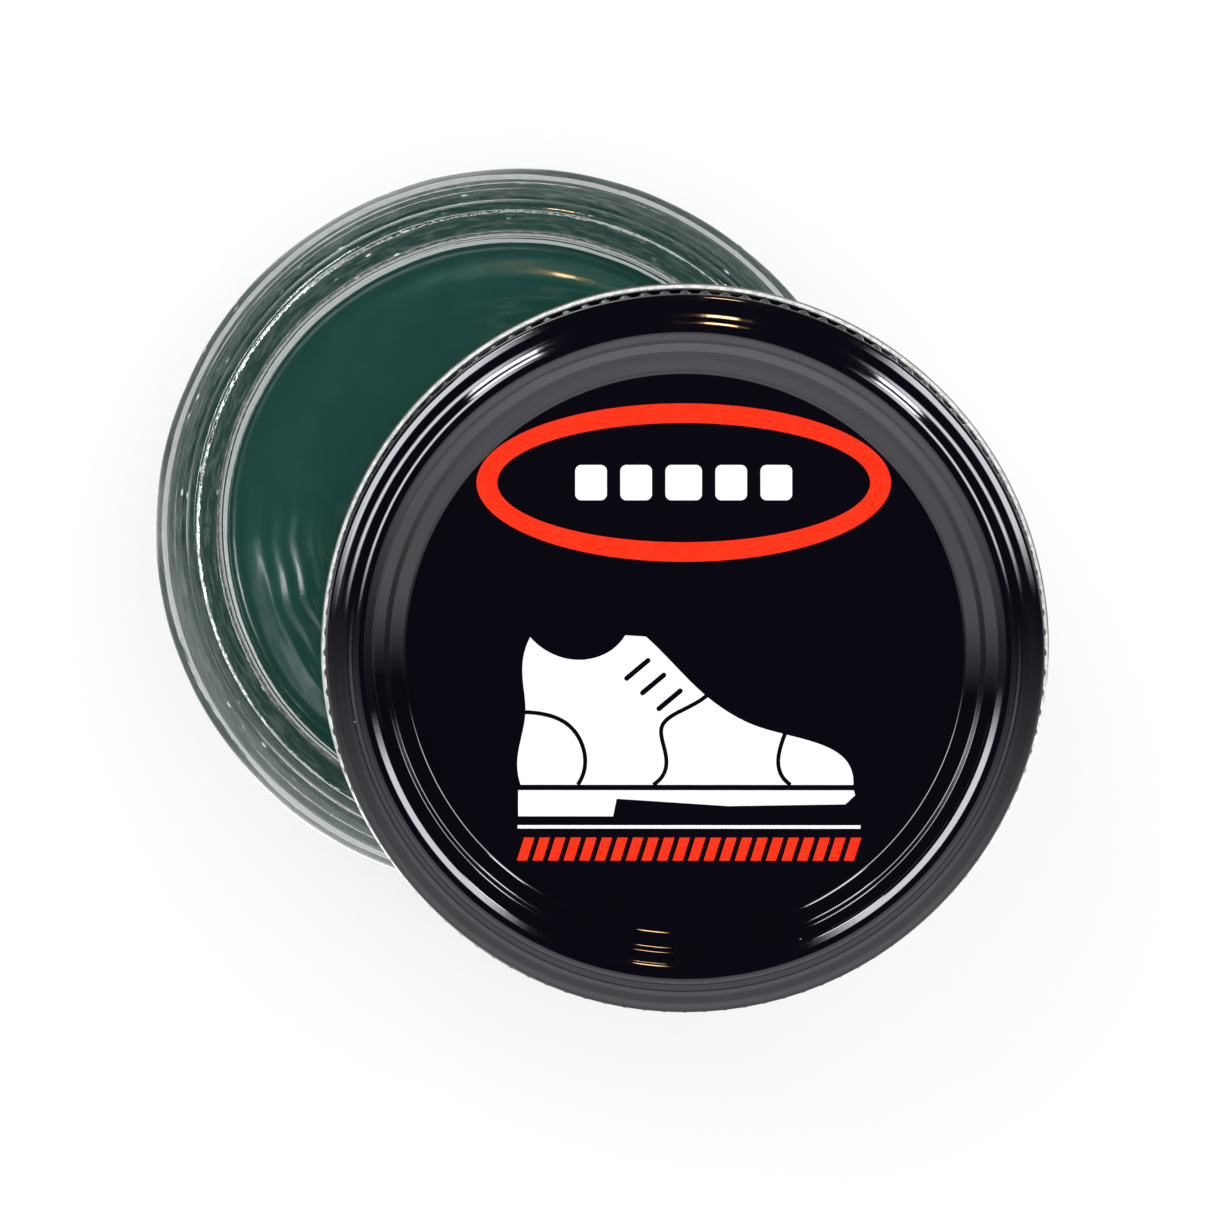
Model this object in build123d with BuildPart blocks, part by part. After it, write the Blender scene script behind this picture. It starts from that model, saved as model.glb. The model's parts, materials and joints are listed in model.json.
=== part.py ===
"""Shoe cream jar: a squat screw-top glass jar of cream with its lacquered metal lid
set down askew over the open mouth.

All lengths are millimetres. The origin is the centre of the jar's base, +Z is up the jar's axis.
The lid is built on its own tilted plane, LID, whose origin is the centre of the curled edge's
underside.
"""

import os
from math import cos, radians, sin, sqrt, tan

from build123d import *

# ---- glass jar -------------------------------------------------------------
JAR_H = 29.0            # base plane to the top of the lip
BASE_RISE = 1.0         # underside at the jar's axis
BODY_R = 30.8           # straight wall
BODY_TOP = 17.0         # where the shoulder starts
NECK_BASE = 20.3        # where the shoulder meets the neck
NECK_R = 27.5           # thread root
BORE_TOP_R = 24.4       # inner edge of the lip
BORE_R = 24.0           # narrowest part of the bore
BORE_BASE = 20.6        # where the bore starts to widen
CAVITY_R = 26.8         # inside the body
CAVITY_TOP = 17.2       # top of the cavity's straight wall
FLOOR = 4.2             # glass floor at the wall
FLOOR_MID = FLOOR + 0.9   # glass floor at the jar's axis
FLOOR_BEND_R = 14.0     # where the floor starts to rise

THREAD_R = 28.7         # thread crest
THREAD_PITCH = 5.08     # five threads to the inch
THREAD_LOW = 21.9       # centre of the thread's lower end
THREAD_SUNK = 0.35      # depth of the ridge inside the neck
THREAD_ROOT_HALF = 1.3
THREAD_CREST_HALF = 0.55
THREAD_ROUND = 0.35

BEARING_R = 28.9        # middle of the flat ring the jar stands on
RIDGES = 100            # short notches that leave ridges around that ring
NOTCH_L, NOTCH_W, NOTCH_DEPTH = 1.0, 0.5, 0.35

# Underside, outer wall, lip, bore and floor: radius, height, corner radius.
JAR_PROFILE = [
    (0, BASE_RISE, 0),
    (23.5, 0.45, 2.0),
    (27.5, 0.45, 0.3),
    (28.0, 0.0, 0.2),
    (29.9, 0.0, 0.6),
    (BODY_R, 2.2, 2.2),
    (BODY_R, BODY_TOP + 1.2, 2.0),
    (NECK_R + 0.9, NECK_BASE - 0.1, 0.7),
    (NECK_R, NECK_BASE + 0.6, 0.6),
    (NECK_R, JAR_H, 0.95),
    (BORE_TOP_R, JAR_H, 0.85),
    (BORE_R, JAR_H - 2.6, 1.5),
    (BORE_R, BORE_BASE, 1.6),
    (CAVITY_R, CAVITY_TOP, 2.0),
    (CAVITY_R, FLOOR, 2.6),
    (FLOOR_BEND_R, FLOOR, 6.0),
    (0, FLOOR_MID, 0),
]

# ---- cream -----------------------------------------------------------------
FILL = 25.8             # cream surface
SKIN = 0.03             # room between cream and glass

# Floor, wall, bore and surface: radius, height, corner radius.
CREAM_PROFILE = [
    (0, FLOOR_MID + SKIN, 0),
    (FLOOR_BEND_R, FLOOR + SKIN, 6.0),
    (CAVITY_R - SKIN, FLOOR + SKIN, 2.6),
    (CAVITY_R - SKIN, CAVITY_TOP - SKIN, 2.0),
    (BORE_R - SKIN, BORE_BASE - SKIN, 1.6),
    (BORE_R - SKIN, FILL, 0.25),
    (22.6, FILL - 0.3, 2.0),
    (0, FILL - 0.1, 0),
]

# ---- lid: heights are above the curl's underside ---------------------------
LID_X, LID_Y = 14.25, -10.03   # centre of the lid in the jar's frame
LEAN_X, LEAN_Y = -0.4, -2.6    # lean of the lid's axis, degrees
CLEAR = 0.12                 # room where the lid lies on the lip
SHEET = 0.25                 # tinplate
PANEL_Z = 9.0                # face of the sunk panel
PANEL_R = 23.3
LID_H = 11.2                 # top of the crown ring
WALL_R = 29.5                # outside of the plain skirt

CURL_R = 0.75                # outside radius of the rolled edge
CURL_AT = 29.6               # centre line of the rolled edge
CURL_INNER_R = CURL_R - SHEET
CURL_END = 62                # where the roll ends, turned back towards the skirt, degrees

KNURLS = 112
KNURL_R = 29.72              # crest of the grip flutes
KNURL_VALLEY_R = WALL_R - 0.02
KNURL_LOW, KNURL_HIGH = 6.3, 8.3

BEAD_AT = 29.05              # centre of the rolled thread bead
BEAD_R = 0.95
BEAD_LOW = 2.75
BEAD_RISE = 2.5
TRIM_LOW, TRIM_HIGH = 1.9, KNURL_LOW - 0.05   # skirt band cleared of the bead's outside

# Outer face of the sheet, panel centre to rolled edge: radius, height, corner radius.
CROWN = [
    (0, PANEL_Z, 0),
    (PANEL_R, PANEL_Z, 0.9),
    (24.3, PANEL_Z + 0.66, 0.3),
    (24.72, PANEL_Z + 0.77, 0.4),
    (26.12, LID_H, 0.7),
    (26.65, LID_H, 1.5),
    (27.05, LID_H - 0.11, 2.8),
    (27.85, LID_H - 0.466, 4.0),
    (28.8, LID_H - 0.644, 3.1),
    (WALL_R, LID_H - 0.85, 0.4),
    (WALL_R, 2.35, 0.5),
    (CURL_AT - CURL_INNER_R, 1.75, 0.5),
    (CURL_AT - CURL_INNER_R, CURL_R, 0),
]
MIN_BEND = 0.08              # smallest corner radius on the sheet's inner face

# ---- liner -----------------------------------------------------------------
LINER_LOW = 7.75             # sealing face
LINER_R = 28.2
LINER_TOP = PANEL_Z - SHEET - 0.1   # disc's upper face, just under the panel
LINER_RIM_TOP = LID_H - 0.65

# Sealing face, raised rim and upper face: radius, height, corner radius.
LINER_PROFILE = [
    (0, LINER_LOW, 0),
    (LINER_R, LINER_LOW, 0.4),
    (LINER_R, LID_H - 2.3, 0.5),
    (27.1, LINER_RIM_TOP, 0.5),
    (26.6, LINER_RIM_TOP, 0.4),
    (24.9, LINER_TOP, 0.4),
    (0, LINER_TOP, 0),
]

# ---- print: x, y on the panel ----------------------------------------------
INK = 0.03
OVAL_X, OVAL_Y = -0.1, 14.0
OVAL_OUTER = (17.0, 6.5)     # half axes
OVAL_INNER = (15.3, 4.9)

BLOCKS = [(-7.6, 2.6), (-3.9, 2.6), (0.0, 3.0), (3.9, 2.6), (7.6, 2.6)]   # x in the oval, width
BLOCK_H, BLOCK_ROUND = 2.9, 0.5

RULE_X, RULE_Y = 0.35, -14.32
RULE_L, RULE_W = 28.2, 0.28
DASHES, DASH_PITCH, DASH_Y = 22, 1.28, -16.15
DASH = [(-0.72, -0.95), (0.12, -0.95), (0.72, 0.95), (-0.12, 0.95)]

# The shoe is seen from the side, its toe towards +X.
SOLE = [
    (-13.7, -13.45), (-13.7, -11.3), (13.9, -11.3), (14.0, -11.7),
    (13.2, -12.45), (3.6, -12.6), (-5.6, -12.0), (-5.9, -13.45),
]
UPPER_LOW = -10.85           # bottom edge of the upper
SHOE_FRONT = [               # from the toe up to the tongue
    (13.85, UPPER_LOW), (13.3, -8.9), (10.2, -7.2), (5.6, -5.9),
    (1.6, -3.4), (-1.6, -0.2), (-3.2, 1.35),
]
SHOE_OPENING = [(-4.9, 1.45), (-6.6, -0.1), (-9.2, -0.55), (-11.4, 0.2), (-12.7, 1.3)]
SHOE_BACK = [(-12.7, 1.3), (-13.35, -1.6), (-13.1, -5.0), (-13.75, -8.6), (-13.5, UPPER_LOW)]
SEAMS = [                    # toe cap, facing and heel counter
    [(8.7, UPPER_LOW), (7.7, -9.3), (7.9, -7.6), (8.4, -6.2)],
    [(-2.6, UPPER_LOW), (-1.6, -8.2), (-1.9, -6.1), (0.2, -4.5), (1.9, -3.4)],
    [(-8.8, UPPER_LOW), (-8.3, -8.0), (-9.6, -5.9), (-11.8, -5.0), (-13.8, -4.9)],
]
SEAM_W = 0.34
LACES = [(-3.9, -1.35), (-2.6, -2.55), (-1.25, -3.85)]   # centres of the lace bars
LACE_L, LACE_W, LACE_TURN = 2.7, 0.42, 40


# ---- outline helpers -------------------------------------------------------
def rounded(points):
    """(start, point on arc or None, end) pieces for a path of (x, y, corner radius)."""
    corners = [Vector(x, y) for x, y, _ in points]
    pieces, last = [], corners[0]
    for i in range(1, len(points) - 1):
        corner, radius = corners[i], points[i][2]
        back = (corners[i - 1] - corner).normalized()
        ahead = (corners[i + 1] - corner).normalized()
        half_angle = radians(back.get_angle(ahead) / 2)
        reach = radius / tan(half_angle)
        bisector = (back + ahead).normalized()
        centre = corner + bisector * (radius / sin(half_angle))
        start, end = corner + back * reach, corner + ahead * reach
        pieces.append((last, None, start))
        pieces.append((start, centre - bisector * radius, end))
        last = end
    pieces.append((last, None, corners[-1]))
    return pieces


def draw(pieces):
    """Add the pieces to the current BuildLine."""
    for start, middle, end in pieces:
        if (end - start).length < 1e-6:   # two arcs that meet leave no line between them
            continue
        if middle is None:
            Line(start, end)
        else:
            ThreePointArc(start, middle, end)


def draw_closed(points):
    """Draw a rounded path and the straight line back to its start."""
    draw(rounded(points))
    Line(points[-1][:2], points[0][:2])


def inner_face(points, thickness):
    """The same path moved inwards by the sheet's thickness."""
    corners = [Vector(x, y) for x, y, _ in points]
    runs = [(b - a).normalized() for a, b in zip(corners, corners[1:])]
    moved = []
    for (_, _, radius), corner, before, after in zip(
        points, corners, runs[:1] + runs, runs + runs[-1:]
    ):
        mitre = Vector(before.Y, -before.X) + Vector(after.Y, -after.X)
        place = corner + mitre * (2 / mitre.dot(mitre)) * thickness
        if radius:
            turns_out = before.X * after.Y - before.Y * after.X < 0
            radius = max(radius + (-thickness if turns_out else thickness), MIN_BEND)
        moved.append((place.X, place.Y, radius))
    return moved


def on_circle(radius, angle, centre=(0, 0)):
    """Point at an angle in degrees."""
    return (centre[0] + radius * cos(radians(angle)), centre[1] + radius * sin(radians(angle)))


def curl_arc(radius, *angles):
    """Arc about the rolled edge's centre, through three angles."""
    ThreePointArc(*[on_circle(radius, angle, (CURL_AT, CURL_R)) for angle in angles])


# ---- the lid's plane -------------------------------------------------------
def lid_plane():
    """Tilted plane, raised so that the curl lies on the lip at the -Y crossing of the two."""
    lean = Vector(sin(radians(LEAN_X)), sin(radians(LEAN_Y)), 0)
    normal = Vector(lean.X, lean.Y, sqrt(1 - lean.X**2 - lean.Y**2))
    # crossing of the lip's middle circle and the curl's centre line, seen from above
    lip_r = (BORE_TOP_R + NECK_R) / 2
    span = sqrt(LID_X**2 + LID_Y**2)
    along = (span**2 + lip_r**2 - CURL_AT**2) / (2 * span)
    across = sqrt(lip_r**2 - along**2)
    to_lid_x, to_lid_y = LID_X / span, LID_Y / span
    rest_x = along * to_lid_x + across * to_lid_y
    rest_y = along * to_lid_y - across * to_lid_x
    rise = (normal.X * (rest_x - LID_X) + normal.Y * (rest_y - LID_Y)) / normal.Z
    x_dir = (Vector(1, 0, 0) - normal * normal.X).normalized()
    return Plane(origin=(LID_X, LID_Y, JAR_H + CLEAR + rise), x_dir=x_dir, z_dir=normal)


LID = lid_plane()
LID_SIDE = Plane(origin=LID.origin, x_dir=LID.x_dir, z_dir=LID.y_dir * -1)   # y is up the lid
LID_AXIS = Axis(LID.origin, LID.z_dir)


# ---- pieces ----------------------------------------------------------------
def glass_jar():
    with BuildPart() as jar:
        with BuildSketch(Plane.XZ):
            with BuildLine():
                draw_closed(JAR_PROFILE)
            make_face()
        revolve(axis=Axis.Z)
        # glass thread: one turn of a blunt ridge
        root_r = NECK_R - THREAD_SUNK
        crest = THREAD_R - root_r
        with BuildLine() as thread_path:
            turn = Helix(pitch=THREAD_PITCH, height=THREAD_PITCH, radius=root_r,
                         center=(0, 0, THREAD_LOW))
        with BuildSketch(Plane(origin=turn @ 0, x_dir=(1, 0, 0), z_dir=turn % 0)) as section:
            with BuildLine():
                Polyline((0, -THREAD_ROOT_HALF), (crest, -THREAD_CREST_HALF),
                         (crest, THREAD_CREST_HALF), (0, THREAD_ROOT_HALF), close=True)
            make_face()
            fillet(section.vertices().sort_by(Axis.X)[-2:], THREAD_ROUND)
        sweep(path=thread_path.wires()[0], is_frenet=True)
        # bearing ring: short radial notches in the flat ring
        with BuildSketch(Plane.XY):
            with PolarLocations(BEARING_R, RIDGES):
                SlotOverall(NOTCH_L, NOTCH_W)
        extrude(amount=NOTCH_DEPTH, mode=Mode.SUBTRACT)
    return jar.part


def shoe_cream():
    with BuildPart() as cream:
        with BuildSketch(Plane.XZ):
            with BuildLine():
                draw_closed(CREAM_PROFILE)
            make_face()
        revolve(axis=Axis.Z)
    return cream.part


def lid_shell():
    with BuildPart() as shell:
        with BuildSketch(LID_SIDE):
            with BuildLine():
                draw(rounded(CROWN))
                # rolled edge: down, outwards, up and back, then round its outside
                curl_arc(CURL_INNER_R, 180, 270, 360)
                curl_arc(CURL_INNER_R, 0, CURL_END / 2, CURL_END)
                Line(*[on_circle(radius, CURL_END, (CURL_AT, CURL_R))
                       for radius in (CURL_INNER_R, CURL_R)])
                curl_arc(CURL_R, CURL_END, 0, -90)
                curl_arc(CURL_R, 270, 225, 180)
                inside = rounded(inner_face(CROWN, SHEET))
                draw([(end, middle, start) for start, middle, end in reversed(inside)])
                Line((0, PANEL_Z - SHEET), (0, PANEL_Z))
            make_face()
        revolve(axis=LID_AXIS)
        # grip flutes below the shoulder
        with BuildSketch(LID.offset(KNURL_LOW)):
            step = 360 / KNURLS
            middle_r = (KNURL_VALLEY_R + KNURL_R) / 2
            with BuildLine():
                for i in range(KNURLS):
                    for half, peak_r in ((0, KNURL_R), (step / 2, KNURL_VALLEY_R)):
                        angle = i * step + half
                        ThreePointArc(on_circle(middle_r, angle),
                                      on_circle(peak_r, angle + step / 4),
                                      on_circle(middle_r, angle + step / 2))
            make_face()
            Circle(WALL_R - SHEET + 0.05, mode=Mode.SUBTRACT)
        extrude(amount=KNURL_HIGH - KNURL_LOW)
        # rolled thread: a bead inside the skirt, a groove outside
        with BuildLine() as bead_path:
            bead = Helix(pitch=THREAD_PITCH, height=BEAD_RISE, radius=BEAD_AT,
                         center=LID.from_local_coords((0, 0, BEAD_LOW)), direction=LID.z_dir)
        ends = [Plane(origin=bead @ at, z_dir=bead % at) for at in (0, 1)]
        for radius, mode in ((BEAD_R, Mode.ADD), (BEAD_R - SHEET, Mode.SUBTRACT)):
            with BuildSketch(ends[0]):
                Circle(radius)
            sweep(path=bead_path.wires()[0], is_frenet=True, mode=mode)
            with Locations(*ends):
                Sphere(radius, mode=mode)
        # nothing of the bead stands proud of the skirt
        with BuildSketch(LID.offset(TRIM_LOW)):
            Circle(WALL_R + 3)
            Circle(WALL_R, mode=Mode.SUBTRACT)
        extrude(amount=TRIM_HIGH - TRIM_LOW, mode=Mode.SUBTRACT)
    return shell.part


def lid_liner():
    """A loose pressed wad: a flat disc with a raised rim that backs the sealing face."""
    with BuildPart() as liner:
        with BuildSketch(LID_SIDE):
            with BuildLine():
                draw_closed(LINER_PROFILE)
            make_face()
        revolve(axis=LID_AXIS)
    return liner.part


def orange_print():
    """Oval ring, and a row of slanted dashes under the rule."""
    with BuildPart() as ink:
        with BuildSketch(LID.offset(PANEL_Z)):
            with Locations((OVAL_X, OVAL_Y)):
                Ellipse(*OVAL_OUTER)
                Ellipse(*OVAL_INNER, mode=Mode.SUBTRACT)
            with GridLocations(DASH_PITCH, 1, DASHES, 1):
                with Locations((RULE_X, DASH_Y)):
                    Polygon(*DASH)
        extrude(amount=INK)
    return ink.part


def white_print():
    """Five blocks inside the oval, a laced shoe and a rule."""
    with BuildPart() as ink:
        with BuildSketch(LID.offset(PANEL_Z)):
            for x, width in BLOCKS:
                with Locations((OVAL_X + x, OVAL_Y)):
                    RectangleRounded(width, BLOCK_H, BLOCK_ROUND)
            with BuildLine():
                Polyline(*SOLE, close=True)
            make_face()
            with BuildLine():
                Line(SHOE_BACK[-1], SHOE_FRONT[0])
                Spline(*SHOE_FRONT)
                Line(SHOE_FRONT[-1], SHOE_OPENING[0])
                Spline(*SHOE_OPENING)
                Spline(*SHOE_BACK)
            make_face()
            for seam in SEAMS:
                with BuildLine():
                    Spline(*seam)
                trace(line_width=SEAM_W, mode=Mode.SUBTRACT)
            for x, y in LACES:
                with Locations(Location((x, y, 0), (0, 0, LACE_TURN))):
                    SlotOverall(LACE_L, LACE_W, mode=Mode.SUBTRACT)
            with Locations((RULE_X, RULE_Y)):
                Rectangle(RULE_L, RULE_W)
        extrude(amount=INK)
    return ink.part


os.makedirs("parts", exist_ok=True)
for build in (glass_jar, shoe_cream, lid_shell, lid_liner, orange_print, white_print):
    piece = build()
    piece.label = build.__name__
    export_step(piece, f"parts/{piece.label}.step")
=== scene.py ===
"""A round glass jar of green cream with its black pressed lid lying off beside it.

The jar stands on z = 0 about the world's Z axis, +X to the right and +Y away as the camera
sees it. The lid and its liner are turned about their own Z and set on the CAD's lid axis.
Sizes are in millimetres where a mesh is shaped, and in metres in shaders, lights and camera.
"""
import functools
import json
import math

import bpy
import numpy as np
from mathutils import Matrix, Vector


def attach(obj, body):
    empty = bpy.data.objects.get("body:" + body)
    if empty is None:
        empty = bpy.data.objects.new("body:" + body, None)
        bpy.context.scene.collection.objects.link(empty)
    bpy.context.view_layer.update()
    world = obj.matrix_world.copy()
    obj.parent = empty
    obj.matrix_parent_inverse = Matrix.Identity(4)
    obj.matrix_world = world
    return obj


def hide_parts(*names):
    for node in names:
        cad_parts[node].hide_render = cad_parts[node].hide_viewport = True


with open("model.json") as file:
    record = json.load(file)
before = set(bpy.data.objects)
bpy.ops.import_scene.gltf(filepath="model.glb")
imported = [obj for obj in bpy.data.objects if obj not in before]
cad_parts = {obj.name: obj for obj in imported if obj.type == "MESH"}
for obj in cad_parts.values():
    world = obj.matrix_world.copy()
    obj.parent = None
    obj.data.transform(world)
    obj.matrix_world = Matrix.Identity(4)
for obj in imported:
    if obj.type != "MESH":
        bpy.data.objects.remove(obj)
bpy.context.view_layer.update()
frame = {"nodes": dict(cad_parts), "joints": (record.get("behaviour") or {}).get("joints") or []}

MM = 0.001
TAU = 2 * math.pi

# ---------------------------------------------------------------------------------------------
# sizes shared with the CAD part, in millimetres
# ---------------------------------------------------------------------------------------------
# jar, outside
JAR_H = 29.0
BODY_R, BODY_TOP = 30.8, 17.0
NECK_R, NECK_BASE = 27.5, 20.3
THREAD_R, THREAD_LOW = 28.7, 21.9
PITCH = 5.08                        # climb of the thread in one turn, jar and lid
RING_TICKS = 100                    # notches around the foot ring
# jar, inside
BORE_TOP_R, BORE_R, BORE_LOW = 24.4, 24.0, 20.6
CAVITY_R, CAVITY_TOP = 26.8, 17.2
FLOOR, FLOOR_RISE, FLOOR_FLAT_R = 4.2, 0.9, 14.0
LIP_MID_R = 26.0
# cream
FILL = 25.8
CREAM_LEVEL = FILL - 0.22           # height of the open surface
CREAM_CLIMB = 0.37                  # how far its edge climbs the glass
OVERLAP = 0.05                      # cream reaching into the glass, so no air film shows
# lid, heights above its open edge
LID_H, SHEET = 11.2, 0.25
PANEL_Z, PANEL_R = 9.0, 23.3
WALL_R = 29.5
KNURL_R, KNURLS, KNURL_CUT = 29.76, 112, 0.09
KNURL_LOW, KNURL_HIGH = 6.3, 8.3
CURL_R, CURL_AT = 0.75, 29.6        # rolled edge: its section radius, and where it is centred
CURL_WALL_R = CURL_AT - CURL_R + SHEET
CURL_STOP = math.radians(62)
BEAD_LOW, BEAD_RISE, BEAD_DEPTH = 2.75, 2.5, 0.86
# liner
LINER_LOW, LINER_R = 7.75, 28.2
LINER_TOP = PANEL_Z - SHEET - 0.1


# ---------------------------------------------------------------------------------------------
# profiles
# ---------------------------------------------------------------------------------------------
def point(x, y):
    return np.array([x, y], float)


def rounded(corners):
    """Line and arc pieces for a path with corners (x, y, rounding radius)."""
    pieces, last = [], point(*corners[0][:2])
    for i in range(1, len(corners) - 1):
        before, here, after = (point(*corners[k][:2]) for k in (i - 1, i, i + 1))
        radius = corners[i][2]
        back = (before - here) / np.linalg.norm(before - here)
        ahead = (after - here) / np.linalg.norm(after - here)
        half = math.acos(max(-1.0, min(1.0, float(back @ ahead)))) / 2
        reach = radius / math.tan(half)
        middle = (back + ahead) / np.linalg.norm(back + ahead)
        centre = here + middle * (radius / math.sin(half))
        start, end = here + back * reach, here + ahead * reach
        pieces.append(("line", last, start))
        pieces.append(("arc", start, centre, end))
        last = end
    pieces.append(("line", last, point(*corners[-1][:2])))
    return pieces


def line_points(start, end, step):
    """Even steps, with extra points close to both ends to hold the shading."""
    length = np.linalg.norm(end - start)
    if length < 1e-6:
        return []
    count = max(1, int(math.ceil(length / step)))
    stops = set(np.linspace(0, 1, count + 1).tolist())
    for inset in (0.02, 0.07, 0.2):
        if length > 4 * inset:
            stops |= {inset / length, 1 - inset / length}
    return [start + (end - start) * t for t in sorted(stops)]


def arc_points(start, centre, end, step, sweep=None):
    """Points along an arc; without a sweep it takes the short way round."""
    radius = np.linalg.norm(start - centre)
    first = math.atan2(*(start - centre)[::-1])
    if sweep is None:
        last = math.atan2(*(end - centre)[::-1])
        sweep = (last - first + math.pi) % TAU - math.pi
    count = max(4, math.ceil(abs(sweep) * radius / step), math.ceil(abs(sweep) / 0.11))
    angles = [first + sweep * k / count for k in range(count + 1)]
    return [centre + radius * point(math.cos(a), math.sin(a)) for a in angles]


def sample(pieces, line=0.9, arc=0.1, fine=None):
    """Points along the pieces. fine(middle) may give a smaller step where relief is added."""
    points = []
    for kind, start, *rest in pieces:
        if kind == "line":
            end = rest[0]
            step = min(line, fine((start + end) / 2)) if fine else line
            points += line_points(start, end, step)
        else:
            points += arc_points(start, rest[0], rest[1], arc, *rest[2:])
    kept = [points[0]]
    for p in points[1:]:
        if np.linalg.norm(p - kept[-1]) > 1e-5:
            kept.append(p)
    return np.array(kept)


def inner_face(corners, thickness):
    """The same corners moved to the right of travel by the sheet's thickness."""
    moved = []
    for i, (x, y, radius) in enumerate(corners):
        here = point(x, y)
        before = here - point(*corners[i - 1][:2]) if i else None
        after = point(*corners[i + 1][:2]) - here if i < len(corners) - 1 else None
        arriving = before if before is not None else after
        leaving = after if after is not None else before
        arriving = arriving / np.linalg.norm(arriving)
        leaving = leaving / np.linalg.norm(leaving)
        mitre = point(arriving[1], -arriving[0]) + point(leaving[1], -leaving[0])
        mitre = mitre * (2 / (mitre @ mitre))
        x, y = here + mitre * thickness
        turns_right = arriving[0] * leaving[1] - arriving[1] * leaving[0] < 0
        if radius:
            radius = max(radius - thickness if turns_right else radius + thickness, 0.08)
        moved.append((x, y, radius))
    return moved


# ---------------------------------------------------------------------------------------------
# turned solids and their relief
# ---------------------------------------------------------------------------------------------
def ease(x, start, end):
    t = np.clip((x - start) / (end - start), 0, 1)
    return t * t * (3 - 2 * t)


def window(x, rise_from, rise_to, fall_from, fall_to):
    return ease(x, rise_from, rise_to) * (1 - ease(x, fall_from, fall_to))


def waves(angle, counts, seed):
    """A smooth periodic function of angle, about +-1, from waves of these counts a turn."""
    draw = np.random.default_rng(seed)
    height = 0
    power = 0
    for count in counts:
        size = 1 / math.sqrt(count)
        height = height + size * np.sin(count * angle + draw.uniform(0, TAU))
        power += size * size / 2
    return height / math.sqrt(power)


def helix(angle, z, low, section, run):
    """A rib, 0 to 1, climbing one PITCH a turn; section(dz) shapes it, run is its window."""
    rib = 0
    for turn in (-1, 0, 1):
        along = angle + turn * TAU
        rib = np.maximum(rib, section(z - (low + PITCH * along / TAU)) * window(along, *run))
    return rib


def lathe(name, profile, segments, relief, materials, zones=None):
    """A closed turned solid from a profile that starts and ends on the axis.

    relief(radius, z, angle, row) returns the new radius and z; zones holds one material
    index for each step of the profile.
    """
    profile = np.array(profile, float)
    rows = len(profile) - 2
    radius = np.repeat(profile[1:-1, 0][:, None], segments, 1)
    z = np.repeat(profile[1:-1, 1][:, None], segments, 1)
    angle = np.repeat((np.arange(segments) * TAU / segments)[None, :], rows, 0)
    row = np.repeat(np.arange(1, rows + 1)[:, None], segments, 1)
    radius, z = relief(radius, z, angle, row)
    rings = np.stack([radius * np.cos(angle), radius * np.sin(angle), z], -1).reshape(-1, 3)
    # the two end points follow the rings next to them
    first_z = profile[0, 1] + float(np.mean(z[0] - profile[1, 1]))
    last_z = profile[-1, 1] + float(np.mean(z[-1] - profile[-2, 1]))
    places = np.vstack([rings, [[0, 0, first_z]], [[0, 0, last_z]]]) * MM

    low = np.arange(rows - 1)[:, None] * segments
    here = np.arange(segments)
    after = (here + 1) % segments
    quads = np.stack([low + here, low + after, low + segments + after, low + segments + here],
                     -1).reshape(-1, 4)
    first_fan = np.stack([np.full(segments, rows * segments), after, here], -1)
    base = (rows - 1) * segments
    last_fan = np.stack([np.full(segments, rows * segments + 1), base + here, base + after], -1)

    mesh = bpy.data.meshes.new(name)
    n_quads, n_fans = len(quads), 2 * segments
    mesh.vertices.add(len(places))
    mesh.vertices.foreach_set("co", places.astype(np.float32).ravel())
    loops = np.concatenate([quads.ravel(), first_fan.ravel(), last_fan.ravel()])
    mesh.loops.add(len(loops))
    mesh.loops.foreach_set("vertex_index", loops.astype(np.int32))
    starts = np.concatenate([np.arange(n_quads) * 4, n_quads * 4 + np.arange(n_fans) * 3])
    totals = np.concatenate([np.full(n_quads, 4), np.full(n_fans, 3)])
    mesh.polygons.add(n_quads + n_fans)
    mesh.polygons.foreach_set("loop_start", starts.astype(np.int32))
    mesh.polygons.foreach_set("loop_total", totals.astype(np.int32))
    mesh.polygons.foreach_set("use_smooth", np.ones(n_quads + n_fans, bool))
    if zones is not None:
        zones = np.array(zones)
        index = np.concatenate([np.repeat(zones[1:rows], segments),
                                np.full(segments, zones[0]), np.full(segments, zones[rows])])
        mesh.polygons.foreach_set("material_index", index.astype(np.int32))
    mesh.update(calc_edges=True)
    mesh.validate()

    # a negative volume means the faces look inward
    a, b, c, d = (places[quads[:, k]] for k in range(4))
    if np.sum(a * np.cross(b, c)) + np.sum(a * np.cross(c, d)) < 0:
        mesh.flip_normals()
    piece = bpy.data.objects.new(name, mesh)
    bpy.context.scene.collection.objects.link(piece)
    for mat in materials:
        mesh.materials.append(mat)
    return piece


def frame_along(axis, origin):
    """A frame at origin with its Z on the axis and its X as near the world's X as it can be."""
    side = (Vector((1, 0, 0)) - axis * axis.x).normalized()
    columns = zip(side, axis.cross(side), axis, origin)
    return Matrix([*columns, (0, 0, 0, 1)])


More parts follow.
